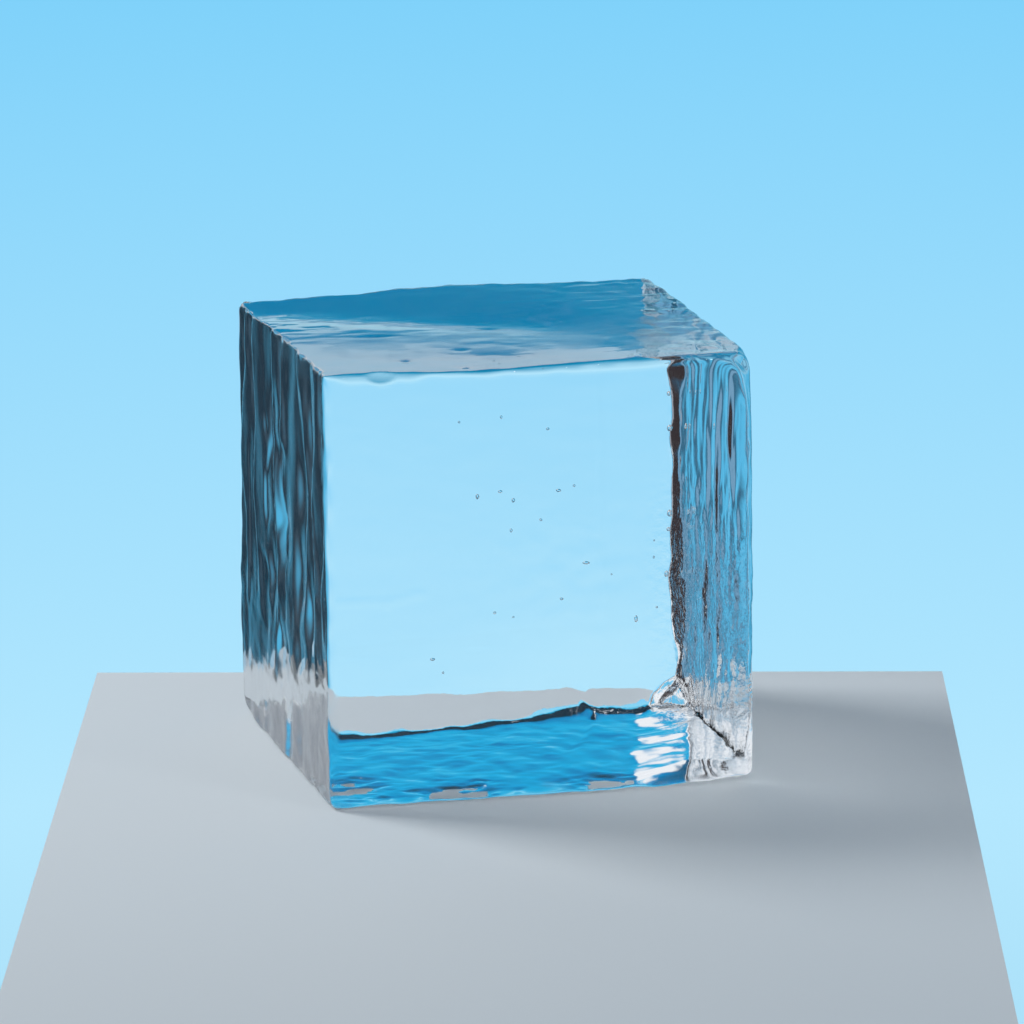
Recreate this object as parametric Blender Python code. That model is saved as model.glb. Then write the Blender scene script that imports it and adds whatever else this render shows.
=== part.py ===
"""A clear ice cube that has begun to melt: one solid block, modelled in metres with +Z up.

X runs across the front, Y from the front to the back. The origin is the middle of the base.
The block starts as a box of quads. Its edges are rounded, its corners are moved to where the melt
has left them, and flutes, channels, swells, pits and chips are then pressed into its faces. The back
right upright is melted to a bevel. Last, the lower corner under it is broken off along plane facets.
"""

import math

import bmesh
import bpy
from mathutils import Vector, noise

MM = 0.001

# The block before it melted
WIDTH = 50.3 * MM
DEPTH = 48.6 * MM
HEIGHT = 50.3 * MM
HALF = Vector((WIDTH / 2, DEPTH / 2, HEIGHT / 2))

# Quads along each side, even so that a row of points lies in the middle
ROWS = (24, 40, 22)
# Distances of the first rows of points from an edge
EDGE_ROWS = (0.0, 0.6 * MM, 1.5 * MM)

# Shift of each corner from the plain box, by its side in x, y and z
CORNER_SHIFTS = {
    (-1, -1, 1): Vector((0.0, 0.1, 0.1)) * MM,
    (1, -1, 1): Vector((-0.1, 0.1, 0.0)) * MM,
    (-1, 1, 1): Vector((-0.4, 0.0, 0.1)) * MM,
    (1, 1, 1): Vector((0.3, 0.0, 0.1)) * MM,
    (-1, -1, -1): Vector((0.4, 0.0, 0.0)) * MM,
    (1, -1, -1): Vector((0.3, 0.6, 0.0)) * MM,
    (-1, 1, -1): Vector((-0.5, 0.1, 0.0)) * MM,
    (1, 1, -1): Vector((0.2, 0.0, 0.0)) * MM,
}

# Rounding of the edges: the usual radius, and how much it wanders along them
EDGE_RADIUS = 0.95 * MM
EDGE_WANDER = 0.4 * MM
EDGE_WAVE = 3.5 * MM
SMALLEST_RADIUS = 0.35 * MM
# Edges and corners that are worn sharper or rounder than the rest, by their sides in x, y and z
# (0 along an edge): extra radius, and its reach
WORN = (
    ((1, -1, 0), 0.9 * MM, 3.0 * MM),
    ((-1, 0, 1), -0.35 * MM, 2.2 * MM),
    ((1, 0, -1), -0.5 * MM, 2.0 * MM),
    ((1, -1, 1), 1.6 * MM, 4.5 * MM),
    ((1, -1, -1), 0.9 * MM, 4.0 * MM),
    ((-1, 1, -1), 1.6 * MM, 4.0 * MM),
    ((-1, 1, 1), 0.8 * MM, 5.0 * MM),
)

# The back right upright: the bevel's outward normal, its setback in x at the foot, how much that
# grows for each metre of height, and how much it wanders
BEVEL_NORMAL = Vector((0.982, 0.191, 0.0))
BEVEL_FOOT = 0.5 * MM
BEVEL_SPREAD = 0.008
BEVEL_WANDER = 0.6 * MM
BEVEL_WAVE = 4.0 * MM

# Flutes down the left side: long slopes, each of which turns back sharply over a share of its width.
# Their widths are uneven, in waves across and along the side, and they fade out above the foot
FLUTE_DEPTH = 0.36 * MM
FLUTE_WIDTH = 7.0 * MM
FLUTE_TURN = 0.16
FLUTE_UNEVENNESS = 0.9
UNEVEN_ACROSS = 11.0 * MM
UNEVEN_ALONG = 28.0 * MM
FLUTES_FROM = 9.0 * MM
FLUTES_TO = 26.0 * MM

# Shallow channels down the right side, whose lower part is pitted as well
CHANNEL_DEPTH = 0.14 * MM
CHANNEL_SPACING = 9.0 * MM
CHANNEL_LENGTH = 20.0 * MM
CHANNEL_WIDTH = 0.22
PITTED_FROM = 32.0 * MM
PITTED_TO = 16.0 * MM
PITTED_DEPTH = 0.16 * MM
PITTED_WIDTH = 3.6 * MM
PITTED_LENGTH = 5.0 * MM
LOW_CHANNEL_SHARE = 0.4

# Both sides swell a little, and their grooves drift to and fro on their way down
SIDE_SWELL = 0.10 * MM
SIDE_WAVE = 8.0 * MM
DRIFT = 1.6 * MM
DRIFT_LENGTH = 24.0 * MM

# The top: broad swells, small pits towards the back, and a slanting valley near the back left
SWELL_HEIGHT = 0.08 * MM
SWELL_WAVE = 12.0 * MM
PIT_DEPTH = 0.22 * MM
PIT_SPACING = 4.6 * MM
PIT_SHARE = 0.3
PITS_FROM = -8.0 * MM
PITS_TO = 14.0 * MM
VALLEY_PLACE = Vector((-16.0, 14.6)) * MM
VALLEY_SLANT = 0.55
VALLEY_DEPTH = 0.95 * MM
VALLEY_REACH = 9.0 * MM
VALLEY_FROM = 17.0 * MM
VALLEY_TO = 4.0 * MM
# Places where the top has sunk, or stands proud: x, y, height, reach
TOP_LEVELS = (
    (-25.0 * MM, 24.0 * MM, 0.45 * MM, 5.5 * MM),
    (0.0 * MM, 24.0 * MM, 0.30 * MM, 9.0 * MM),
    (25.0 * MM, 24.0 * MM, -0.10 * MM, 8.0 * MM),
    (-6.0 * MM, -24.0 * MM, -0.30 * MM, 8.0 * MM),
    (15.0 * MM, -24.0 * MM, 0.20 * MM, 7.0 * MM),
)

# The front and back are almost plane. The front bows out low down, above a shallow ledge
FACE_WAVINESS = 0.03 * MM
FACE_WAVE = 20.0 * MM
LEDGE_TOP = 11.5 * MM
LEDGE_FOOT = 5.5 * MM
LEDGE_DEPTH = 0.4 * MM
BOW_DEPTH = 1.2 * MM
BOW_MIDDLE = 7.0 * MM
BOW_REACH = 15.0 * MM
BOW_TOP = 24.0 * MM

# Round chips in the edges: centre of the ball that fits the hollow, and its radius
CHIPS = (
    (Vector((-18.5, -25.9, 51.9)) * MM, 3.2 * MM),
    (Vector((-11.0, -26.4, 52.3)) * MM, 2.2 * MM),
    (Vector((4.5, -26.6, 52.3)) * MM, 2.1 * MM),
    (Vector((6.0, 26.4, 52.0)) * MM, 2.2 * MM),
    (Vector((-26.4, 8.0, 52.1)) * MM, 2.3 * MM),
    (Vector((-26.6, -9.0, 52.3)) * MM, 2.2 * MM),
    (Vector((26.6, 12.0, 51.9)) * MM, 2.4 * MM),
)
# Facets of the broken lower back right corner: a point on each, and its outward normal
FRACTURE = (
    (Vector((25.1, 24.3, 3.8)) * MM, Vector((0.58, 0.36, -0.73))),
    (Vector((25.1, 16.5, 0.0)) * MM, Vector((0.66, 0.25, -0.71))),
)

# The uneven waves: how fast their finer waves fade and shorten, and how many there are
WAVE_FADE = 1.0
WAVE_STEP = 2.1
WAVE_COUNT = 2
# Slices of the noise field, one for each use
SLICE_DRIFT, SLICE_LEFT, SLICE_FLUTES, SLICE_BEVEL = (0.5, 11.3, 19.5, 0.9)
SLICE_RIGHT, SLICE_CHANNELS, SLICE_PITTED = (21.3, 8.5, 14.7)
SLICE_TOP, SLICE_FRONT, SLICE_BACK = (31.3, 51.3, 61.3)

ICE_COLOUR = (0.78, 0.90, 0.95, 1.0)
ICE_ROUGHNESS = 0.04
ICE_IOR = 1.31


def clear_scene():
    for thing in list(bpy.data.objects):
        bpy.data.objects.remove(thing, do_unlink=True)


def wavy(across, along, across_wave, along_wave, noise_slice):
    """Uneven waves, about -1 to 1, with the given wavelength in each direction."""
    place = Vector((across / across_wave, along / along_wave, noise_slice))
    return noise.fractal(place, WAVE_FADE, WAVE_STEP, WAVE_COUNT)


def faded(start, end, value):
    """0 at start, 1 at end, and smooth between them."""
    share = min(1.0, max(0.0, (value - start) / (end - start)))
    return share * share * (3.0 - 2.0 * share)


def bell(distance, reach):
    return math.exp(-((distance / reach) ** 2))


def edge_radius(point):
    radius = EDGE_RADIUS + EDGE_WANDER * noise.noise(point / EDGE_WAVE)
    for sides, extra, reach in WORN:
        away = math.sqrt(sum((c - side * h) ** 2 for c, side, h in zip(point, sides, HALF) if side))
        radius += extra * bell(away, reach)
    return max(SMALLEST_RADIUS, radius)


def rounded(point):
    """The point on the rounded box that stands for a point on the plain one, and its outward normal."""
    radius = edge_radius(point)
    core = Vector([min(max(c, radius - h), h - radius) for c, h in zip(point, HALF)])
    normal = (point - core).normalized()
    return core + normal * radius, normal


def corner_shift(point):
    """The corners' shifts, shared out over the block."""
    share = [(c / h + 1.0) / 2.0 for c, h in zip(point, HALF)]
    total = Vector((0.0, 0.0, 0.0))
    for corner, shift in CORNER_SHIFTS.items():
        weight = 1.0
        for side, part in zip(corner, share):
            weight *= part if side > 0 else 1.0 - part
        total += shift * weight
    return total


def drifting(y, z):
    """Which groove a place belongs to, as grooves drift on their way down."""
    return y + DRIFT * wavy(z, 0.0, DRIFT_LENGTH, DRIFT_LENGTH, SLICE_DRIFT)


def flute(share):
    """The depth, 1 at its start, of a slope that falls to 0 and then turns back sharply to 1."""
    slope = 1.0 - FLUTE_TURN
    return 1.0 - share / slope if share < slope else 1.0 - (1.0 - share) / FLUTE_TURN


def left_melt(y, z):
    across = drifting(y, z)
    uneven = FLUTE_UNEVENNESS * wavy(across, z, UNEVEN_ACROSS, UNEVEN_ALONG, SLICE_FLUTES)
    flutes = FLUTE_DEPTH * flute((across / FLUTE_WIDTH + uneven) % 1.0) * faded(FLUTES_FROM, FLUTES_TO, z)
    return flutes + SIDE_SWELL * wavy(across, z, SIDE_WAVE, DRIFT_LENGTH, SLICE_LEFT)


def right_melt(y, z):
    low = faded(PITTED_FROM, PITTED_TO, z)
    across = drifting(y, z)
    waves = noise.noise(Vector((across / CHANNEL_SPACING, z / CHANNEL_LENGTH, SLICE_CHANNELS)))
    channels = CHANNEL_DEPTH * bell(waves, CHANNEL_WIDTH) * (1.0 - (1.0 - LOW_CHANNEL_SHARE) * low)
    pitted = PITTED_DEPTH * low * wavy(y, z, PITTED_WIDTH, PITTED_LENGTH, SLICE_PITTED)
    return channels + pitted + SIDE_SWELL * wavy(across, z, SIDE_WAVE, DRIFT_LENGTH, SLICE_RIGHT)


def top_melt(x, y):
    melt = SWELL_HEIGHT * wavy(x, y, SWELL_WAVE, SWELL_WAVE, SLICE_TOP)
    past_valley = y - VALLEY_PLACE.y + VALLEY_SLANT * (x - VALLEY_PLACE.x)
    melt += VALLEY_DEPTH * bell(past_valley, VALLEY_REACH) * faded(VALLEY_FROM, VALLEY_TO, x)
    nearest = noise.voronoi(Vector((x, y, 0.0)) / PIT_SPACING)[0][0]
    melt += PIT_DEPTH * faded(PITS_FROM, PITS_TO, y) * bell(nearest, PIT_SHARE)
    for place_x, place_y, height, reach in TOP_LEVELS:
        melt -= height * bell(math.hypot(x - place_x, y - place_y), reach)
    return melt


def front_melt(x, z):
    ledge = LEDGE_DEPTH * faded(LEDGE_TOP, LEDGE_FOOT, z)
    bow = BOW_DEPTH * bell(x - BOW_MIDDLE, BOW_REACH) * faded(BOW_TOP, 0.0, z)
    return FACE_WAVINESS * wavy(x, z, FACE_WAVE, FACE_WAVE, SLICE_FRONT) + ledge - bow


def back_melt(x, z):
    return FACE_WAVINESS * wavy(x, z, FACE_WAVE, FACE_WAVE, SLICE_BACK)


def melted(point, normal):
    """The point moved in by what has melted from the faces that it belongs to. The base keeps its plane."""
    share_x, share_y, share_z = (c * c for c in normal)
    x, y, z = point
    x += share_x * (left_melt(y, z) if normal.x < 0 else -right_melt(y, z))
    y += share_y * (front_melt(x, z) if normal.y < 0 else -back_melt(x, z))
    if normal.z > 0:
        z -= share_z * top_melt(x, y)
    return Vector((x, y, z))


def chipped(point):
    """The point pushed out of each chip's ball."""
    for centre, radius in CHIPS:
        offset = point - centre
        if offset.length < radius:
            point = centre + offset.normalized() * radius
    return point


def bevelled(point):
    """The point pushed back to the bevel of the back right upright."""
    setback = BEVEL_FOOT + BEVEL_SPREAD * point.z
    setback += BEVEL_WANDER * noise.noise(Vector((0.3, SLICE_BEVEL, point.z / BEVEL_WAVE)))
    past = (point - Vector((HALF.x - setback, HALF.y, 0.0))).dot(BEVEL_NORMAL)
    return point - BEVEL_NORMAL * max(0.0, past)


def row_place(share, half, rows):
    """Where a row of points lies: crowded at the edges and even between them."""
    step = round((1.0 - abs(share)) / 2.0 * rows)
    if step < len(EDGE_ROWS):
        from_edge = EDGE_ROWS[step]
    else:
        spacing = (half - EDGE_ROWS[-1]) / (rows // 2 - len(EDGE_ROWS) + 1)
        from_edge = EDGE_ROWS[-1] + (step - len(EDGE_ROWS) + 1) * spacing
    return math.copysign(half - from_edge, share)


def runs_along(edge, axis):
    first, second = (vert.co for vert in edge.verts)
    return abs(first[axis] - second[axis]) > (first - second).length / 2.0


def block_of_quads():
    """A closed box, 2 units a side, cut into rows along each axis."""
    mesh = bmesh.new()
    bmesh.ops.create_cube(mesh, size=2.0)
    for axis, rows in enumerate(ROWS):
        edges = [edge for edge in mesh.edges if runs_along(edge, axis)]
        bmesh.ops.subdivide_edges(mesh, edges=edges, cuts=rows - 1)
    return mesh


def shape_block(mesh):
    for vert in mesh.verts:
        plain = Vector([row_place(c, h, rows) for c, h, rows in zip(vert.co, HALF, ROWS)])
        point, normal = rounded(plain)
        point += corner_shift(point)
        point.z += HALF.z
        vert.co = bevelled(chipped(melted(point, normal)))


def break_corner(mesh):
    """Cuts the corner off along each facet, and closes the cut."""
    for on_facet, normal in FRACTURE:
        everything = mesh.verts[:] + mesh.edges[:] + mesh.faces[:]
        cut = bmesh.ops.bisect_plane(
            mesh, geom=everything, dist=0.01 * MM, plane_co=on_facet, plane_no=normal, clear_outer=True
        )
        rim = [part for part in cut["geom_cut"] if isinstance(part, bmesh.types.BMEdge)]
        bmesh.ops.contextual_create(mesh, geom=rim)


def stand_on_origin(mesh):
    """Puts the middle of the block's box over the origin."""
    for axis in (0, 1):
        places = [vert.co[axis] for vert in mesh.verts]
        middle = (min(places) + max(places)) / 2.0
        for vert in mesh.verts:
            vert.co[axis] -= middle


def ice_material():
    material = bpy.data.materials.new("clear_ice")
    material.use_nodes = True
    shader = material.node_tree.nodes["Principled BSDF"]
    shader.inputs["Base Color"].default_value = ICE_COLOUR
    shader.inputs["Roughness"].default_value = ICE_ROUGHNESS
    shader.inputs["Metallic"].default_value = 0.0
    shader.inputs["IOR"].default_value = ICE_IOR
    shader.inputs["Transmission Weight"].default_value = 1.0
    return material


def build_ice_cube():
    mesh = block_of_quads()
    shape_block(mesh)
    break_corner(mesh)
    stand_on_origin(mesh)
    bmesh.ops.triangulate(mesh, faces=mesh.faces[:])
    data = bpy.data.meshes.new("ice_cube")
    mesh.to_mesh(data)
    mesh.free()
    data.shade_smooth()
    data.materials.append(ice_material())
    block = bpy.data.objects.new("ice_cube", data)
    bpy.context.scene.collection.objects.link(block)
    return block


def main():
    clear_scene()
    build_ice_cube()


main()
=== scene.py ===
"""The looks of the clear ice cube: its fine melted skin, its bubbles, its material and the studio."""

import math

import bmesh
import bpy
from mathutils import Matrix, Vector, noise


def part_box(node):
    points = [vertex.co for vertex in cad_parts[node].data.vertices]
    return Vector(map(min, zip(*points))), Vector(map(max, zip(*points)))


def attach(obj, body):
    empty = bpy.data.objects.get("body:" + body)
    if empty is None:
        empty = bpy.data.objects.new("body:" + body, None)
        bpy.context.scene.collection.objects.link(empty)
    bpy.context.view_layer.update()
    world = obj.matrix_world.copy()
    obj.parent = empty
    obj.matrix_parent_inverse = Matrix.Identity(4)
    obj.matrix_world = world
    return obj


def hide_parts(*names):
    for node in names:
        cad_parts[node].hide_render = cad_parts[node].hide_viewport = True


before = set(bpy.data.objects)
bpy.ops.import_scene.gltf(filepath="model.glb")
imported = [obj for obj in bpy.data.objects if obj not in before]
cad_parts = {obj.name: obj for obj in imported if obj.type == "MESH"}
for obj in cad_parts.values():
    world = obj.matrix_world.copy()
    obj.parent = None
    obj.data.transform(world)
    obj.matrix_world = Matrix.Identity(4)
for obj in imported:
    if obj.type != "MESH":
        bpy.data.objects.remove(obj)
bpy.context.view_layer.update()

MM = 0.001
BLOCK_NODE = "ice_cube"
LOW, HIGH = (Vector(corner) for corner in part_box(BLOCK_NODE))
BLOCK_SIZE = HIGH - LOW

# ---------------------------------------------------------------- the block, in millimetres
HALF = Vector((25.15, 24.3, 25.15))
# Quads along each side, and the distances of the first rows of points from an edge
ROWS = (106, 142, 112)
EDGE_ROWS = (0.0, 0.12, 0.28, 0.5, 0.75, 1.05, 1.4)

# Shift of each corner from the plain box, by its side in x, y and z
CORNER_SHIFTS = {
    (-1, -1, 1): Vector((0.0, 0.1, 0.1)),
    (1, -1, 1): Vector((-0.1, 0.1, 0.0)),
    (-1, 1, 1): Vector((-0.4, 0.0, 0.1)),
    (1, 1, 1): Vector((0.3, 0.0, 0.1)),
    (-1, -1, -1): Vector((0.4, 0.0, 0.0)),
    (1, -1, -1): Vector((0.3, 0.6, 0.0)),
    (-1, 1, -1): Vector((-0.5, 0.1, 0.0)),
    (1, 1, -1): Vector((0.2, 0.0, 0.0)),
}

# Rounding of the edges: the usual radius, and how much it wanders along them
EDGE_RADIUS = 0.95
EDGE_WANDER = 0.45
EDGE_WAVE = 2.6
SMALLEST_RADIUS = 0.3
# Edges and corners that are worn rounder, by their sides in x, y and z (0 along an edge):
# extra radius, how much it wanders, and its reach
WORN = (
    ((1, -1, 0), 0.9, 0.1, 3.0),
    ((1, 1, 0), 0.0, 0.4, 3.0),
    ((-1, 0, 1), -0.35, 0.4, 2.2),
    ((0, 1, 1), 0.0, 0.5, 2.0),
    ((0, 1, -1), 0.0, 0.15, 2.0),
    ((1, 0, -1), -0.5, 0.2, 2.0),
    ((1, -1, 1), 1.6, 0.0, 4.5),
    ((1, -1, -1), 0.9, 0.0, 4.0),
    ((-1, 1, -1), 1.6, 0.0, 4.0),
    ((-1, 1, 1), 0.8, 0.0, 5.0),
)
WORN_WAVE = 1.9

# Grooves drift to and fro on their way down the sides. The left side has flutes, each of which turns
# back sharply over a share of its width, and a broken foot
DRIFT = 1.6
FLUTE_DEPTH, FLUTE_WIDTH, FLUTE_TURN = 0.36, 7.0, 0.16
LEFT_FOOT_TOP, LEFT_FOOT_LOW = 26.0, 9.0
# Hollows in the left side: middle in y and z, depth, and reach in y and z
LEFT_HOLLOWS = (
    (-10.5, 34.0, 0.50, 2.4, 4.0),
    (-8.5, 25.0, 0.40, 2.0, 4.0),
    (-1.5, 28.0, 0.45, 2.0, 5.0),
    (4.5, 39.0, 0.30, 1.6, 5.0),
    (-14.5, 20.0, 0.35, 1.6, 4.0),
    (6.0, 20.0, 0.40, 2.0, 4.0),
)

# The right side: heights between which its channels fade and its pits set in
RIGHT_FOOT_TOP, RIGHT_FOOT_LOW = 32.0, 16.0
PITTED_TOP, PITTED_LOW = 42.0, 18.0

# The front bows out low down, above a shallow ledge
LEDGE_TOP, LEDGE_FALL, LEDGE_DEPTH = 11.5, 6.0, 0.4
BOW_DEPTH, BOW_MIDDLE, BOW_REACH, BOW_TOP = 1.2, 7.0, 15.0, 24.0

# Hairlines in the front: start and end in x and z, and depth
LINE_REACH = 0.3
FRONT_LINES = (
    ((3.9, 12.6, 5.6, 10.6), 0.06),
    ((5.6, 10.6, 5.8, 8.6), 0.06),
    ((5.8, 8.6, 4.6, 6.4), 0.06),
    ((4.6, 6.4, 2.2, 4.9), 0.06),
    ((-24.0, 24.4, -18.0, 24.0), 0.05),
    ((-18.0, 24.0, -14.0, 24.8), 0.05),
)

# The top: a slanting valley near the back left, places where it has sunk or stands proud (x, y,
# height, reach), and small pits
VALLEY_X, VALLEY_Y, VALLEY_SLANT = -16.0, 14.6, 0.55
VALLEY_DEPTH, VALLEY_REACH = 0.95, 9.0
VALLEY_FROM, VALLEY_TO = 17.0, 4.0
TOP_LEVELS = (
    (-25.0, 24.0, 0.45, 5.5),
    (0.0, 24.0, 0.30, 9.0),
    (25.0, 24.0, -0.10, 8.0),
    (-6.0, -24.0, -0.30, 8.0),
    (15.0, -24.0, 0.20, 7.0),
)
# Middle of each pit in x and y, and its reach in x and y
TOP_PITS = (
    (-14.5, -3.4, 2.0, 0.6),
    (-14.4, -18.2, 0.7, 0.7),
    (-6.9, -13.5, 0.7, 0.7),
    (-8.4, -22.6, 0.8, 0.6),
    (-0.1, 1.4, 0.9, 0.6),
)
PIT_DEPTH = 0.14

# Round chips in the edges: centre of the ball that fits the hollow, and its radius
CHIPS = (
    (Vector((-18.5, -25.9, 51.9)), 3.2),
    (Vector((-11.0, -26.4, 52.3)), 2.2),
    (Vector((4.5, -26.6, 52.3)), 2.1),
    (Vector((6.0, 26.4, 52.0)), 2.2),
    (Vector((-26.4, 8.0, 52.1)), 2.3),
    (Vector((-26.6, -9.0, 52.3)), 2.2),
    (Vector((26.6, 12.0, 51.9)), 2.4),
)
# Facets of the broken lower back right corner: a point on each, and its outward normal. The mesh is
# finer within the reach, and the break leaves steps across the facets
FRACTURE = (
    (Vector((25.1, 24.3, 3.8)), Vector((0.58, 0.36, -0.73)).normalized()),
    (Vector((25.1, 16.5, 0.0)), Vector((0.66, 0.25, -0.71)).normalized()),
)
FRACTURE_REACH = 8.5
FRACTURE_STEP = 0.27
FRACTURE_WAVE = 3.3
FRACTURE_ACROSS = Vector((0.31, -0.93, -0.21))

# The back right upright is melted to a bevel, whose width wanders up the block
BEVEL_NORMAL = Vector((0.982, 0.191, 0.0))
BEVEL_FOOT, BEVEL_SPREAD, BEVEL_WANDER, BEVEL_WAVE = 0.5, 0.008, 0.6, 4.0

# Where the melted base still meets what it stands on: middle and half-lengths in x and y
CONTACTS = (
    (-20.5, -13.0, 3.2, 6.0),
    (-9.0, -18.5, 4.5, 4.0),
    (8.0, -19.0, 5.0, 3.5),
)
HOLLOW_DEPTH, SMALLEST_HOLLOW = 0.26, 0.05
# The base rises towards the right, past a slanting line, and over a strip along the front
LIFT, LIFT_SLANT, LIFT_START, LIFT_RUN = 1.4, 0.19, 15.0, 6.5
LIFT_FRONT = 8.3
LIFT_FALLS_TO, LIFT_FALLS_FROM = 18.0, 8.0
CALM_FROM, CALM_TO, CALM_SHARE = 13.0, 17.0, 0.65


def fractal(u, v, w, octaves=3):
    """Uneven waves, about -1 to 1, of places given in wavelengths. Most uses fix w, which then only
    picks a slice of the noise."""
    return noise.fractal(Vector((u, v, w)), 1.0, 2.1, octaves)


def clamped(value):
    return min(1.0, max(0.0, value))


def faded(start, end, value):
    """0 at start, 1 at end, and smooth between them."""
    share = clamped((value - start) / (end - start))
    return share * share * (3.0 - 2.0 * share)


def bell(distance, reach):
    return math.exp(-((distance / reach) ** 2))


def edge_radius(point):
    radius = EDGE_RADIUS + EDGE_WANDER * noise.noise(point / EDGE_WAVE)
    wander = fractal(*(point / WORN_WAVE), octaves=2)
    for sides, extra, wandering, reach in WORN:
        away = math.sqrt(sum((c - side * h) ** 2 for c, side, h in zip(point, sides, HALF) if side))
        radius += (extra + wandering * wander) * bell(away, reach)
    return max(SMALLEST_RADIUS, radius)


def rounded(point):
    """The point on the rounded box that stands for a point on the plain one, and its outward normal."""
    radius = edge_radius(point)
    core = Vector([min(max(c, radius - h), h - radius) for c, h in zip(point, HALF)])
    normal = (point - core).normalized()
    return core + normal * radius, normal


def corner_shift(point):
    """The corners' shifts, shared out over the block."""
    share = [(c / h + 1.0) / 2.0 for c, h in zip(point, HALF)]
    total = Vector((0.0, 0.0, 0.0))
    for corner, shift in CORNER_SHIFTS.items():
        weight = 1.0
        for side, part in zip(corner, share):
            weight *= part if side > 0 else 1.0 - part
        total += shift * weight
    return total


def grooves(u, v, noise_slice, width):
    """1 along the beds of narrow channels, which wander with the noise, and 0 between them."""
    return bell(noise.noise(Vector((u, v, noise_slice))), width)


def flutes(u):
    """Long slopes, from 1 down to 0, each of which then turns back sharply."""
    share = u - math.floor(u)
    slope = 1.0 - FLUTE_TURN
    return 1.0 - share / slope if share < slope else 1.0 - (1.0 - share) / FLUTE_TURN


def left_melt(y, z):
    low = faded(LEFT_FOOT_TOP, LEFT_FOOT_LOW, z)
    across = y + DRIFT * fractal(z / 22.0, 3.1, 0.5) + 1.2 * fractal(y / 6.0, z / 12.0, 81.5)
    swells = 0.10 * fractal(across / 8.0, z / 24.0, 11.3, octaves=2)
    phase = across / FLUTE_WIDTH + 0.9 * fractal(across / 11.0, z / 30.0, 19.5, octaves=2)
    slopes = FLUTE_DEPTH * flutes(phase) * (1.0 - low)
    middle = bell(y - 1.0, 11.0) * faded(46.0, 34.0, z)
    patchy = faded(-0.10, 0.30, fractal(across / 8.0, z / 9.0, 41.0, octaves=2))
    channels = (0.04 + 0.34 * patchy * middle + 0.06 * low) * grooves(across / 6.0, z / 16.0, 5.5, 0.28)
    fine = (0.02 + 0.05 * low) * fractal(across / 3.0, z / 7.0, 4.7, octaves=2)
    broken = (0.01 + 0.07 * low) * fractal(y / 3.4, z / 2.4, 24.7, octaves=2)
    hollows = sum(
        depth * bell(math.hypot((y - middle_y) / reach_y, (z - middle_z) / reach_z), 1.0)
        for middle_y, middle_z, depth, reach_y, reach_z in LEFT_HOLLOWS
    )
    return swells + slopes + channels + fine + broken + hollows


def right_melt(y, z):
    low = faded(RIGHT_FOOT_TOP, RIGHT_FOOT_LOW, z)
    across = y + DRIFT * fractal(z / 26.0, 7.9, 2.5) + 0.10 * z
    swells = 0.11 * fractal(across / 9.0, z / 28.0, 21.3, octaves=2)
    channels = 0.24 * grooves(across / 9.0, z / 20.0, 8.5, 0.22) * (1.0 - 0.5 * low)
    fine = 0.10 * fractal(across / 3.2, z / 9.0, 44.7, octaves=2)
    pitted = 0.17 * faded(PITTED_TOP, PITTED_LOW, z) * fractal((y + 0.4 * z) / 3.4, z / 3.0, 14.7)
    return swells + channels + fine + pitted


def top_melt(x, y):
    back = faded(-8.0, 16.0, y)
    past_valley = y + VALLEY_SLANT * (x - VALLEY_X) - VALLEY_Y
    melt = VALLEY_DEPTH * bell(past_valley, VALLEY_REACH) * faded(VALLEY_FROM, VALLEY_TO, x)
    melt += 0.07 * fractal(x / 12.0, y / 10.0, 31.3)
    right = faded(12.0, 20.0, x)
    melt += (0.02 + 0.05 * max(back, right)) * fractal(x / 3.4, y / 2.4, 3.3)
    melt += 0.11 * right * fractal(x / 2.2, y / 3.2, 63.3, octaves=2)
    melt += (0.015 + 0.02 * back) * fractal(x / 6.0, y / 1.6, 73.3, octaves=2)
    for place_x, place_y, reach_x, reach_y in TOP_PITS:
        melt += PIT_DEPTH * bell(math.hypot((x - place_x) / reach_x, (y - place_y) / reach_y), 1.0)
    for place_x, place_y, height, reach in TOP_LEVELS:
        melt -= height * bell(math.hypot(x - place_x, y - place_y), reach)
    return melt


def from_line(x, z, start_x, start_z, end_x, end_z):
    """How far a place is from the straight line between two others."""
    run_x, run_z = end_x - start_x, end_z - start_z
    share = clamped(((x - start_x) * run_x + (z - start_z) * run_z) / (run_x**2 + run_z**2))
    return math.hypot(x - start_x - share * run_x, z - start_z - share * run_z)


def front_melt(x, z):
    broad = 0.03 * fractal(x / 21.0, z / 17.0, 51.3)
    patch = bell(x - 2.5, 8.0) * bell(z - 27.0, 7.0)
    ripples = 0.012 * fractal(x / 6.0, z / 2.2, 6.1) + 0.05 * patch * fractal(x / 2.2, z / 1.6, 9.1)
    ripples += 0.018 * faded(22.0, 8.0, z) * fractal(x / 3.0, z / 2.5, 26.1)
    ripples += sum(depth * bell(from_line(x, z, *ends), LINE_REACH) for ends, depth in FRONT_LINES)
    ledge_top = LEDGE_TOP + 0.8 * fractal(x / 7.0, 5.0, 17.7)
    ledge = LEDGE_DEPTH * faded(ledge_top, ledge_top - LEDGE_FALL, z)
    bow = BOW_DEPTH * bell(x - BOW_MIDDLE, BOW_REACH) * faded(BOW_TOP, 0.0, z)
    return broad + ripples + ledge - bow


def back_melt(x, z):
    return 0.03 * fractal(x / 19.0, z / 21.0, 61.3) + 0.006 * fractal(x / 5.0, z / 2.5, 16.1)


def touching(x, y):
    """1 where the base is wetted to what it stands on, 0 over its melt hollows."""
    broken = 0.7 * fractal(x / 3.4, y / 2.6, 88.0) + 0.22 * fractal(x / 1.1, y / 2.0, 57.0)
    share = 0.0
    for middle_x, middle_y, half_x, half_y in CONTACTS:
        reach = math.hypot((x - middle_x) / half_x, (y - middle_y) / half_y) + broken
        share = max(share, faded(1.45, 0.35, reach))
    return share


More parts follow.
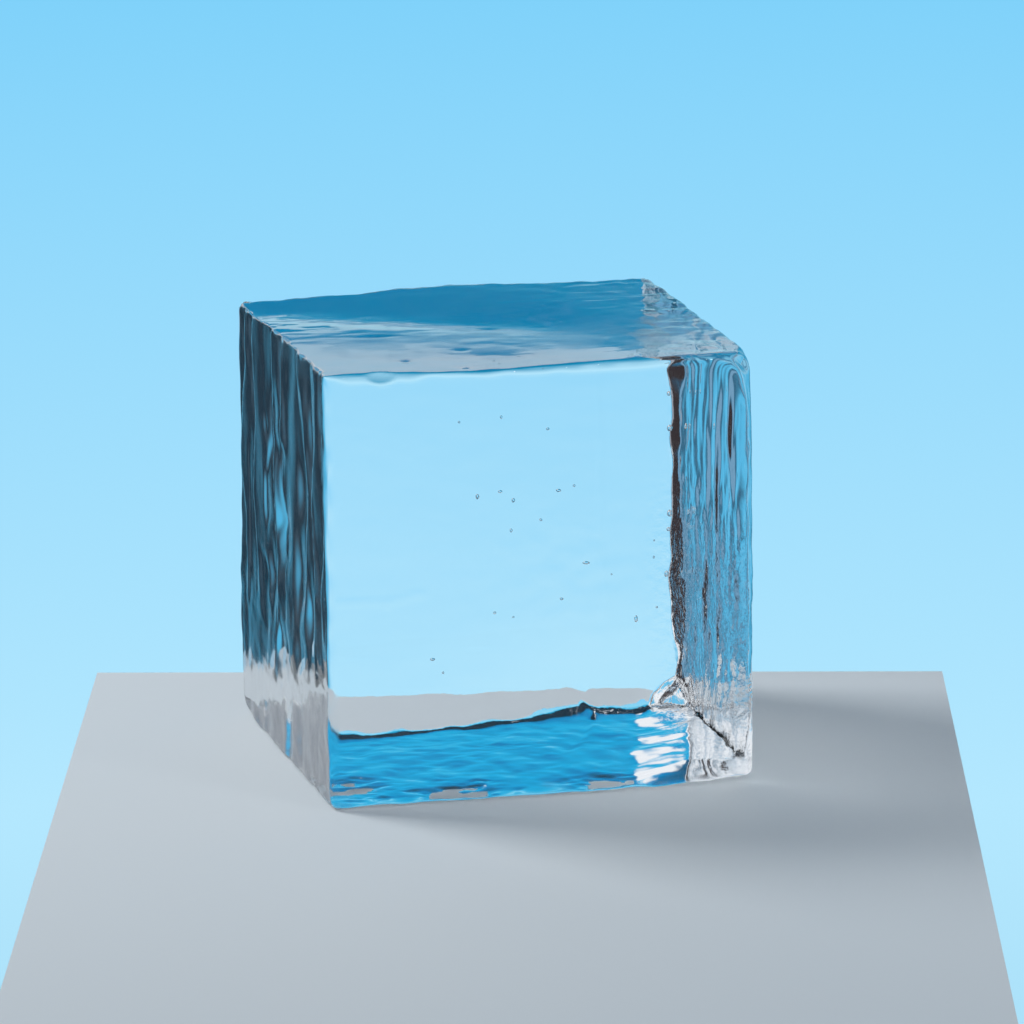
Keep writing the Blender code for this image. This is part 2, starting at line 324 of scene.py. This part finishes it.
def right_lift(x, y):
    """How far the base stands up towards the right side."""
    past = x - LIFT_SLANT * y - LIFT_START + 0.8 * fractal(x / 7.0, y / 7.0, 88.0)
    rise = clamped(past / LIFT_RUN) * clamped((y + HALF.y) / LIFT_FRONT)
    return LIFT * rise * faded(LIFT_FALLS_TO, LIFT_FALLS_FROM, past)


def base_melt(x, y):
    uneven = 0.13 * fractal(x / 3.6, y / 7.0, 71.3) + 0.05 * fractal(x / 1.6, y / 3.6, 34.3)
    calm = CALM_SHARE * faded(CALM_FROM, CALM_TO, x - LIFT_SLANT * y)
    hollows = HOLLOW_DEPTH + uneven * faded(24.0, 19.0, y) * (1.0 - calm)
    return max(SMALLEST_HOLLOW, hollows) * (1.0 - touching(x, y)) + right_lift(x, y)


def melted(point, normal):
    """The point moved in by what has melted from the faces that it belongs to."""
    share_x, share_y, share_z = (c * c for c in normal)
    x, y, z = point
    x += share_x * (left_melt(y, z) if normal.x < 0 else -right_melt(y, z))
    y += share_y * (front_melt(x, z) if normal.y < 0 else -back_melt(x, z))
    z += share_z * (base_melt(x, y) if normal.z < 0 else -top_melt(x, y))
    return Vector((x, y, z))


def fracture_ridge(point, past):
    """The steps that a break leaves across a facet, fading out at the facet's rim."""
    across = point.dot(FRACTURE_ACROSS) / FRACTURE_WAVE + 0.15 * fractal(*(point / 4.0))
    return FRACTURE_STEP * faded(0.0, 0.5, past) * abs(2.0 * (across % 1.0) - 1.0)


def chipped(point):
    """The point pushed out of each chip's ball."""
    for centre, radius in CHIPS:
        offset = point - centre
        if offset.length < radius:
            point = centre + offset.normalized() * radius
    return point


def bevelled(point):
    """The point pushed back to the bevel of the back right upright."""
    width = BEVEL_FOOT + BEVEL_SPREAD * point.z
    width += BEVEL_WANDER * fractal(0.3, 0.9, point.z / BEVEL_WAVE, octaves=1)
    past = (point - Vector((HALF.x - width, HALF.y, 0.0))).dot(BEVEL_NORMAL)
    return point - BEVEL_NORMAL * max(0.0, past)


def broken_off(point):
    """The point pushed back to the facets of the broken corner, and kept above the floor."""
    for on_facet, normal in FRACTURE:
        past = (point - on_facet).dot(normal)
        if past > 0.0:
            point = point - normal * (past + fracture_ridge(point, past))
    point.z = max(point.z, 0.0)
    return point


def row_place(share, half, rows):
    """Where a row of points lies: crowded at the edges and even between them."""
    step = round((1.0 - abs(share)) / 2.0 * rows)
    if step < len(EDGE_ROWS):
        from_edge = EDGE_ROWS[step]
    else:
        spacing = (half - EDGE_ROWS[-1]) / (rows // 2 - len(EDGE_ROWS) + 1)
        from_edge = EDGE_ROWS[-1] + (step - len(EDGE_ROWS) + 1) * spacing
    return math.copysign(half - from_edge, share)


def runs_along(edge, axis):
    first, second = (vert.co for vert in edge.verts)
    return abs(first[axis] - second[axis]) > (first - second).length / 2.0


def block_of_quads():
    """A closed box, 2 units a side, cut into rows along each axis."""
    mesh = bmesh.new()
    bmesh.ops.create_cube(mesh, size=2.0)
    for axis, rows in enumerate(ROWS):
        edges = [edge for edge in mesh.edges if runs_along(edge, axis)]
        bmesh.ops.subdivide_edges(mesh, edges=edges, cuts=rows - 1)
    return mesh


def refine_near_fracture(mesh):
    corner = Vector((HALF.x, HALF.y, -HALF.z))
    near = {vert for vert in mesh.verts if (vert.co - corner).length < FRACTURE_REACH}
    edges = [edge for edge in mesh.edges if all(vert in near for vert in edge.verts)]
    bmesh.ops.subdivide_edges(mesh, edges=edges, cuts=2, use_grid_fill=True)
    bmesh.ops.triangulate(mesh, faces=[face for face in mesh.faces if len(face.verts) > 4])


def shape_block(mesh):
    for vert in mesh.verts:
        vert.co = [row_place(c, h, rows) for c, h, rows in zip(vert.co, HALF, ROWS)]
    refine_near_fracture(mesh)
    for vert in mesh.verts:
        point, normal = rounded(vert.co)
        point += corner_shift(point)
        point.z += HALF.z
        vert.co = broken_off(bevelled(chipped(melted(point, normal))))


def fit_to_node(mesh):
    """Puts the shaped block, in millimetres, in exactly the box that its CAD node fills."""
    low = Vector([min(vert.co[axis] for vert in mesh.verts) for axis in range(3)])
    high = Vector([max(vert.co[axis] for vert in mesh.verts) for axis in range(3)])
    for vert in mesh.verts:
        share = [(c - l) / (h - l) for c, l, h in zip(vert.co, low, high)]
        vert.co = Vector([l + s * size for l, s, size in zip(LOW, share, BLOCK_SIZE)])


# Bubbles sealed in the ice: middle, radius, stretch in x and stretch in z
BUBBLES = (
    (-2.3, -10.3, 42.4, 0.14, 1.0, 1.6),
    (-6.2, -4.3, 41.1, 0.15, 1.0, 1.0),
    (6.1, 5.7, 38.1, 0.16, 1.3, 1.0),
    (-1.0, 13.7, 29.1, 0.22, 1.0, 1.4),
    (-3.2, -14.3, 34.4, 0.18, 1.5, 1.0),
    (1.0, 0.7, 30.7, 0.20, 1.0, 1.2),
    (7.9, 8.7, 30.2, 0.20, 1.6, 1.0),
    (6.8, -7.3, 33.4, 0.16, 1.0, 1.0),
    (3.7, 17.7, 24.1, 0.18, 1.0, 1.3),
    (6.5, -16.3, 25.8, 0.17, 2.6, 1.0),
    (18.4, 3.7, 24.5, 0.13, 1.0, 1.0),
    (14.1, -18.3, 26.4, 0.12, 1.0, 1.5),
    (16.0, -10.3, 18.9, 0.14, 1.0, 1.0),
    (14.7, -4.3, 16.5, 0.15, 1.4, 2.6),
    (-0.4, 5.7, 16.5, 0.16, 1.0, 1.0),
    (3.2, 13.7, 14.3, 0.13, 1.3, 1.0),
    (-11.2, -14.3, 15.2, 0.17, 1.8, 1.0),
    (-7.4, 0.7, 10.6, 0.14, 1.0, 1.0),
    (5.6, 8.7, 26.8, 0.17, 1.0, 1.0),
    (11.2, -7.3, 22.6, 0.12, 1.0, 1.0),
    (9.7, 17.7, 15.4, 0.14, 1.0, 1.0),
    (23.7, 22.3, 43.3, 0.36, 1.0, 1.3),
    (23.9, 22.4, 39.0, 0.26, 1.0, 1.0),
    (24.0, 22.4, 34.8, 0.36, 1.0, 1.2),
    (23.9, 22.2, 24.5, 0.34, 1.0, 1.2),
    (23.8, 22.3, 22.4, 0.26, 1.0, 1.0),
    (23.6, 22.5, 17.0, 0.26, 1.0, 1.5),
)


def add_bubbles(mesh):
    """Each bubble is a closed surface that faces into it, as the skin of a hollow does."""
    for x, y, z, radius, stretch_x, stretch_z in BUBBLES:
        ball = bmesh.ops.create_icosphere(mesh, subdivisions=2, radius=radius * MM)["verts"]
        bmesh.ops.scale(mesh, verts=ball, vec=(stretch_x, 1.0, stretch_z))
        bmesh.ops.translate(mesh, verts=ball, vec=Vector((x, y, z)) * MM)
        skin = {face for vert in ball for face in vert.link_faces}
        bmesh.ops.reverse_faces(mesh, faces=list(skin))


# ---------------------------------------------------------------- the ice
ICE_IOR = 1.31
DEPTH_COLOUR = (0.82, 0.94, 1.0, 1.0)
DEPTH_DENSITY = 1.5


def new_step(tree, start, end, source):
    step = tree.nodes.new("ShaderNodeMapRange")
    step.interpolation_type = "SMOOTHSTEP"
    step.inputs["From Min"].default_value = start
    step.inputs["From Max"].default_value = end
    tree.links.new(source, step.inputs["Value"])
    return step.outputs["Result"]


def new_product(tree, first, second):
    product = tree.nodes.new("ShaderNodeMath")
    product.operation = "MULTIPLY"
    tree.links.new(first, product.inputs[0])
    tree.links.new(second, product.inputs[1])
    return product.outputs["Value"]


def new_sum(tree, parts):
    """The sum of some shares, each times its weight."""
    total = None
    for weight, share in parts:
        added = tree.nodes.new("ShaderNodeMath")
        added.operation = "MULTIPLY_ADD"
        tree.links.new(share, added.inputs[0])
        added.inputs[1].default_value = weight
        added.inputs[2].default_value = 0.0
        if total:
            tree.links.new(total, added.inputs[2])
        total = added.outputs["Value"]
    return total


def new_noise(tree, place, wave, detail):
    waves = tree.nodes.new("ShaderNodeTexNoise")
    waves.inputs["Scale"].default_value = 1.0 / wave
    waves.inputs["Detail"].default_value = detail
    tree.links.new(place, waves.inputs["Vector"])
    return waves.outputs["Fac"]


def ice_material():
    material = bpy.data.materials.new("clear_ice")
    material.use_nodes = True
    tree = material.node_tree
    new, link = tree.nodes.new, tree.links.new
    shader = tree.nodes["Principled BSDF"]
    shader.inputs["Base Color"].default_value = (1.0, 1.0, 1.0, 1.0)
    shader.inputs["Transmission Weight"].default_value = 1.0
    shader.inputs["IOR"].default_value = ICE_IOR

    depth = new("ShaderNodeVolumeAbsorption")
    depth.inputs["Color"].default_value = DEPTH_COLOUR
    depth.inputs["Density"].default_value = DEPTH_DENSITY
    link(depth.outputs["Volume"], tree.nodes["Material Output"].inputs["Volume"])

    place = new("ShaderNodeTexCoord").outputs["Object"]
    parts = new("ShaderNodeSeparateXYZ")
    link(place, parts.inputs["Vector"])
    on_right = new_step(tree, 20 * MM, 24 * MM, parts.outputs["X"])
    low = new_step(tree, 34 * MM, 18 * MM, parts.outputs["Z"])
    on_top = new_step(tree, 46 * MM, 49 * MM, parts.outputs["Z"])
    pitted = new_product(tree, on_right, low)

    bump = new("ShaderNodeBump")
    bump.inputs["Distance"].default_value = 0.12 * MM
    strength = new("ShaderNodeMapRange")
    strength.inputs["To Min"].default_value = 0.03
    strength.inputs["To Max"].default_value = 1.0
    link(pitted, strength.inputs["Value"])
    link(strength.outputs["Result"], bump.inputs["Strength"])
    link(new_noise(tree, place, 1.1 * MM, 3.0), bump.inputs["Height"])
    link(bump.outputs["Normal"], shader.inputs["Normal"])

    hazy = new_step(tree, 0.50, 0.62, new_noise(tree, place, 9.0 * MM, 4.0))
    on_base = new_step(tree, 1.0 * MM, 0.5 * MM, parts.outputs["Z"])
    on_left = new_step(tree, -23.4 * MM, -23.9 * MM, parts.outputs["X"])
    middle_front = new_step(tree, -20 * MM, -13 * MM, parts.outputs["Y"])
    middle_back = new_step(tree, 8 * MM, -4 * MM, parts.outputs["Y"])
    front = new_step(tree, -8 * MM, -18 * MM, parts.outputs["Y"])
    foot = new_step(tree, 20 * MM, 11 * MM, parts.outputs["Z"])
    hazes = (
        (0.10, new_product(tree, on_top, hazy)),
        (0.16, new_product(tree, on_top, new_product(tree, middle_front, middle_back))),
        (0.06, new_product(tree, on_base, hazy)),
        (0.14, new_product(tree, on_base, new_product(tree, front, hazy))),
        (0.14, new_product(tree, on_left, foot)),
    )
    link(new_sum(tree, hazes), shader.inputs["Roughness"])
    return material


def build_block():
    mesh = block_of_quads()
    shape_block(mesh)
    fit_to_node(mesh)
    add_bubbles(mesh)
    data = bpy.data.meshes.new("ice_block")
    mesh.to_mesh(data)
    mesh.free()
    data.shade_smooth()
    data.materials.append(ice_material())
    block = bpy.data.objects.new("ice_block", data)
    bpy.context.scene.collection.objects.link(block)
    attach(block, "root")
    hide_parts(BLOCK_NODE)
    return block


# ---------------------------------------------------------------- studio
def linear(red, green, blue):
    channels = [c / 255.0 for c in (red, green, blue)]
    return tuple(c / 12.92 if c <= 0.04045 else ((c + 0.055) / 1.055) ** 2.4 for c in channels)


# The world is laid out in azimuths, in degrees clockwise from the middle of the backdrop, and in
# elevations. Each wall is a list of elevations and colours
BACKDROP_AZIMUTH = 17.0
BACKDROP_HALF_WIDTH = 32.0
BACKDROP_SOFTNESS = 5.0
BACKDROP_STOPS = (
    (-90.0, (10, 90, 135)),
    (-55.0, (8, 116, 162)),
    (-35.0, (16, 146, 190)),
    (-15.5, (180, 232, 255)),
    (-8.0, (126, 209, 250)),
    (2.0, (140, 216, 244)),
    (8.0, (56, 180, 224)),
    (13.0, (24, 170, 220)),
    (24.0, (18, 134, 192)),
    (48.0, (30, 60, 80)),
    (90.0, (40, 42, 48)),
)
# Painted shading of the backdrop near its sides, standing for light falling unevenly across it
BACKDROP_EDGE_SHADE = (84, 184, 228)
RIGHT_STOPS = (
    (-90.0, (160, 164, 172)),
    (-30.0, (150, 152, 158)),
    (-22.0, (8, 8, 10)),
    (0.0, (20, 20, 24)),
    (8.0, (118, 124, 134)),
    (50.0, (130, 134, 140)),
    (90.0, (40, 42, 48)),
)
LEFT_STOPS = (
    (-90.0, (130, 132, 138)),
    (-60.0, (90, 112, 130)),
    (-45.0, (20, 112, 156)),
    (-30.0, (28, 122, 164)),
    (-20.0, (46, 98, 128)),
    (5.0, (56, 110, 140)),
    (30.0, (58, 46, 42)),
    (60.0, (58, 46, 42)),
    (90.0, (40, 42, 48)),
)
PALE_LEFT = (110, 156, 188)
DARK_LEFT = (46, 38, 40)
SOFT_BOX = (238, 242, 247)
DIM_BOX = (184, 198, 211)
BOX_GAP = (62, 48, 44)
ROOM = (150, 156, 166)
CEILING = (28, 50, 66)

# A limit is where a share is 0 and where it is 1. A band has both ends: 0, 1, 1, 0
# The painted shading near the backdrop's sides: where it sets in by azimuth, and its foot and top in elevation
EDGE_SHADE_LIMIT = (8, 26)
EDGE_SHADE_FOOT, EDGE_SHADE_TOP = (-26, -20), (12, 2)
PALE_LEFT_BAND = (-56, -52, -42, -38)
DARK_LEFT_LIMIT = (-55, -59)
ROOM_LEFT_LIMIT, ROOM_RIGHT_LIMIT = (-74, -84), (68, 84)
CEILING_LIMIT = (47, 53)
BOX_FOOT, LOW_BOX_TOP, HIGH_BOX_TOP = (4, 7), (31, 27), (48, 44)
FRONT_BOX_BAND = (-54, -50, -11.5, -9)
NEAR_BOX_LIMIT, FAR_BOX_LIMIT = (-50, -54), (-96, -100)
BOX_GAP_BAND = (-104, -100, -66, -62)
DIM_BOX_BAND = (-84, -78, -40, -34)


def new_ramp(tree, stops, height):
    """A colour for each elevation, from the sine of the elevation."""
    ramp = tree.nodes.new("ShaderNodeValToRGB")
    tree.links.new(height, ramp.inputs["Fac"])
    elements = ramp.color_ramp.elements
    elements.remove(elements[-1])
    for number, (elevation, colour) in enumerate(stops):
        position = (math.sin(math.radians(elevation)) + 1.0) / 2.0
        element = elements[0] if number == 0 else elements.new(position)
        element.position = position
        element.color = (*linear(*colour), 1.0)
    return ramp.outputs["Color"]


def new_turn(tree, azimuth, start, end):
    """0 up to the start, in degrees of azimuth, 1 past the end, and smooth between them."""
    return new_step(tree, math.radians(start), math.radians(end), azimuth)


def new_band(tree, azimuth, outer_start, inner_start, inner_end, outer_end):
    """1 between the inner azimuths and 0 outside the outer ones."""
    rise = new_turn(tree, azimuth, outer_start, inner_start)
    return new_product(tree, rise, new_turn(tree, azimuth, outer_end, inner_end))


def new_climb(tree, height_sine, start, end):
    """The same in degrees of elevation, from the elevation's sine."""
    return new_step(tree, math.sin(math.radians(start)), math.sin(math.radians(end)), height_sine)


def new_mix(tree, factor, first, second):
    mix = tree.nodes.new("ShaderNodeMix")
    mix.data_type = "RGBA"
    tree.links.new(factor, mix.inputs["Factor"])
    for socket, colour in (("A", first), ("B", second)):
        if isinstance(colour, tuple):
            mix.inputs[socket].default_value = (*linear(*colour), 1.0)
        else:
            tree.links.new(colour, mix.inputs[socket])
    return mix.outputs["Result"]


def new_directions(tree):
    """The azimuth from the middle of the backdrop, in radians, and the sine of the elevation."""
    new, link = tree.nodes.new, tree.links.new
    turned = new("ShaderNodeVectorRotate")
    turned.rotation_type = "Z_AXIS"
    turned.inputs["Angle"].default_value = math.radians(BACKDROP_AZIMUTH)
    link(new("ShaderNodeTexCoord").outputs["Generated"], turned.inputs["Vector"])
    parts = new("ShaderNodeSeparateXYZ")
    link(turned.outputs["Vector"], parts.inputs["Vector"])
    azimuth = new("ShaderNodeMath")
    azimuth.operation = "ARCTAN2"
    link(parts.outputs["X"], azimuth.inputs[0])
    link(parts.outputs["Y"], azimuth.inputs[1])
    return azimuth.outputs["Value"], parts.outputs["Z"]


def new_walls(tree, around, height_sine):
    """The backdrop, with painted shading that changes its tone near its sides, and the walls on both sides of
    it.
    """
    height = tree.nodes.new("ShaderNodeMapRange")
    height.inputs["From Min"].default_value = -1.0
    tree.links.new(height_sine, height.inputs["Value"])
    aside = tree.nodes.new("ShaderNodeMath")
    aside.operation = "ABSOLUTE"
    tree.links.new(around, aside.inputs[0])
    spread = aside.outputs["Value"]

    backdrop, right_side, left_side = (
        new_ramp(tree, stops, height.outputs["Result"]) for stops in (BACKDROP_STOPS, RIGHT_STOPS, LEFT_STOPS)
    )
    # Painted shading: the backdrop's tone changes near its sides, over a band of elevations
    edge_shade_share = new_product(tree, new_turn(tree, spread, *EDGE_SHADE_LIMIT), new_climb(tree, height_sine, *EDGE_SHADE_FOOT))
    edge_shade_share = new_product(tree, edge_shade_share, new_climb(tree, height_sine, *EDGE_SHADE_TOP))
    backdrop = new_mix(tree, edge_shade_share, backdrop, BACKDROP_EDGE_SHADE)

    room = new_mix(tree, new_climb(tree, height_sine, *CEILING_LIMIT), ROOM, CEILING)
    left_side = new_mix(tree, new_band(tree, around, *PALE_LEFT_BAND), left_side, PALE_LEFT)
    left_side = new_mix(tree, new_turn(tree, around, *DARK_LEFT_LIMIT), left_side, DARK_LEFT)
    left_side = new_mix(tree, new_turn(tree, around, *ROOM_LEFT_LIMIT), left_side, room)
    right_side = new_mix(tree, new_turn(tree, around, *ROOM_RIGHT_LIMIT), right_side, room)
    beside = new_mix(tree, new_turn(tree, around, -0.5, 0.5), left_side, right_side)
    inner, outer = BACKDROP_HALF_WIDTH - BACKDROP_SOFTNESS, BACKDROP_HALF_WIDTH + BACKDROP_SOFTNESS
    return new_mix(tree, new_turn(tree, spread, inner, outer), backdrop, beside)


def new_boxes(tree, around, height_sine, walls):
    """The walls with the pale soft boxes hung before them, and the dark gap between the boxes."""
    above_foot = new_climb(tree, height_sine, *BOX_FOOT)
    low_box = new_product(tree, above_foot, new_climb(tree, height_sine, *LOW_BOX_TOP))
    high_box = new_product(tree, above_foot, new_climb(tree, height_sine, *HIGH_BOX_TOP))
    box_colour = new_mix(tree, new_band(tree, around, *DIM_BOX_BAND), SOFT_BOX, DIM_BOX)
    layers = (
        (new_band(tree, around, *FRONT_BOX_BAND), high_box, box_colour),
        (new_turn(tree, around, *NEAR_BOX_LIMIT), low_box, box_colour),
        (new_band(tree, around, *BOX_GAP_BAND), high_box, BOX_GAP),
        (new_turn(tree, around, *FAR_BOX_LIMIT), high_box, SOFT_BOX),
    )
    for span, height, colour in layers:
        walls = new_mix(tree, new_product(tree, span, height), walls, colour)
    return walls


def studio_world():
    world = bpy.data.worlds.new("studio")
    bpy.context.scene.world = world
    world.use_nodes = True
    tree = world.node_tree
    tree.nodes.clear()
    background = tree.nodes.new("ShaderNodeBackground")
    output = tree.nodes.new("ShaderNodeOutputWorld")
    tree.links.new(background.outputs["Background"], output.inputs["Surface"])
    around, height_sine = new_directions(tree)
    walls = new_walls(tree, around, height_sine)
    tree.links.new(new_boxes(tree, around, height_sine, walls), background.inputs["Color"])


FLOOR_TURN = math.radians(-14.2)
FLOOR_MIDDLE = Vector((1.5, -4.2, 0.02)) * MM
FLOOR_HALF_WIDTH, FLOOR_TO_BACK = 51.9 * MM, 38.6 * MM
FLOOR_TO_FRONT, FLOOR_THICKNESS = 0.4, 0.08
FLOOR_COLOUR = (221, 229, 233)
FLOOR_ROUGHNESS = 0.9


def studio_floor():
    aside = Vector((math.cos(FLOOR_TURN), math.sin(FLOOR_TURN), 0.0)) * FLOOR_HALF_WIDTH
    back = Vector((-math.sin(FLOOR_TURN), math.cos(FLOOR_TURN), 0.0))
    corners = (
        FLOOR_MIDDLE + aside + back * FLOOR_TO_BACK,
        FLOOR_MIDDLE - aside + back * FLOOR_TO_BACK,
        FLOOR_MIDDLE - aside - back * FLOOR_TO_FRONT,
        FLOOR_MIDDLE + aside - back * FLOOR_TO_FRONT,
    )
    mesh = bmesh.new()
    top = mesh.faces.new([mesh.verts.new(corner) for corner in corners])
    extruded = bmesh.ops.extrude_face_region(mesh, geom=[top])
    lower = [part for part in extruded["geom"] if isinstance(part, bmesh.types.BMVert)]
    bmesh.ops.translate(mesh, verts=lower, vec=(0.0, 0.0, -FLOOR_THICKNESS))
    bmesh.ops.recalc_face_normals(mesh, faces=mesh.faces)
    data = bpy.data.meshes.new("studio_floor")
    mesh.to_mesh(data)
    mesh.free()
    material = bpy.data.materials.new("floor")
    material.use_nodes = True
    shader = material.node_tree.nodes["Principled BSDF"]
    shader.inputs["Base Color"].default_value = (*linear(*FLOOR_COLOUR), 1.0)
    shader.inputs["Roughness"].default_value = FLOOR_ROUGHNESS
    data.materials.append(material)
    floor = bpy.data.objects.new("studio_floor", data)
    bpy.context.scene.collection.objects.link(floor)


def hang_lamp(light, place, target, power):
    """Aims the lamp at its target. The ice doesn't show the lamp itself, only the studio."""
    light.energy = power
    lamp = bpy.data.objects.new(light.name, light)
    lamp.location = place
    lamp.rotation_euler = (Vector(target) - Vector(place)).to_track_quat("-Z", "Y").to_euler()
    lamp.visible_transmission = False
    bpy.context.scene.collection.objects.link(lamp)


def soft_light(name, place, target, side, power):
    light = bpy.data.lights.new(name, "AREA")
    light.size = side
    hang_lamp(light, place, target, power)


def spot_light(name, place, target, angle, power):
    light = bpy.data.lights.new(name, "SPOT")
    light.spot_size = math.radians(angle)
    light.spot_blend = 1.0
    light.shadow_soft_size = 0.05
    hang_lamp(light, place, target, power)


CAMERA_PLACE = Vector((-166.9, -707.9, 193.95)) * MM
CAMERA_YAW, CAMERA_PITCH, CAMERA_ROLL = (math.radians(angle) for angle in (13.435, 12.844, -0.282))
CAMERA_LENS = 225.0


def photo_camera():
    camera_data = bpy.data.cameras.new("camera")
    camera_data.sensor_width = 36.0
    camera_data.lens = CAMERA_LENS
    camera = bpy.data.objects.new("camera", camera_data)
    bpy.context.scene.collection.objects.link(camera)
    ahead = Vector((
        math.sin(CAMERA_YAW) * math.cos(CAMERA_PITCH),
        math.cos(CAMERA_YAW) * math.cos(CAMERA_PITCH),
        -math.sin(CAMERA_PITCH),
    ))
    right = Vector((math.cos(CAMERA_YAW), -math.sin(CAMERA_YAW), 0.0))
    up = right.cross(ahead)
    turned_right = math.cos(CAMERA_ROLL) * right + math.sin(CAMERA_ROLL) * up
    turned_up = math.cos(CAMERA_ROLL) * up - math.sin(CAMERA_ROLL) * right
    pose = Matrix((turned_right, turned_up, -ahead)).transposed().to_4x4()
    pose.translation = CAMERA_PLACE
    camera.matrix_world = pose
    bpy.context.scene.camera = camera


build_block()
studio_world()
studio_floor()
soft_light("key_light", (-0.31, 0.23, 0.37), (0, 0, 0.01), 0.2, 1.65)
soft_light("fill_light", (-0.34, -0.70, 0.91), (0, 0, 0), 0.5, 0.5)
spot_light("kicker_light", (0.25, -0.25, 0.62), (0.029, -0.014, 0.0), 2.8, 7.0)
spot_light("front_light", (0.30, -0.45, 0.60), (0.03, -0.05, 0.0), 15.0, 1.7)
photo_camera()
bpy.context.scene.view_settings.view_transform = "Standard"
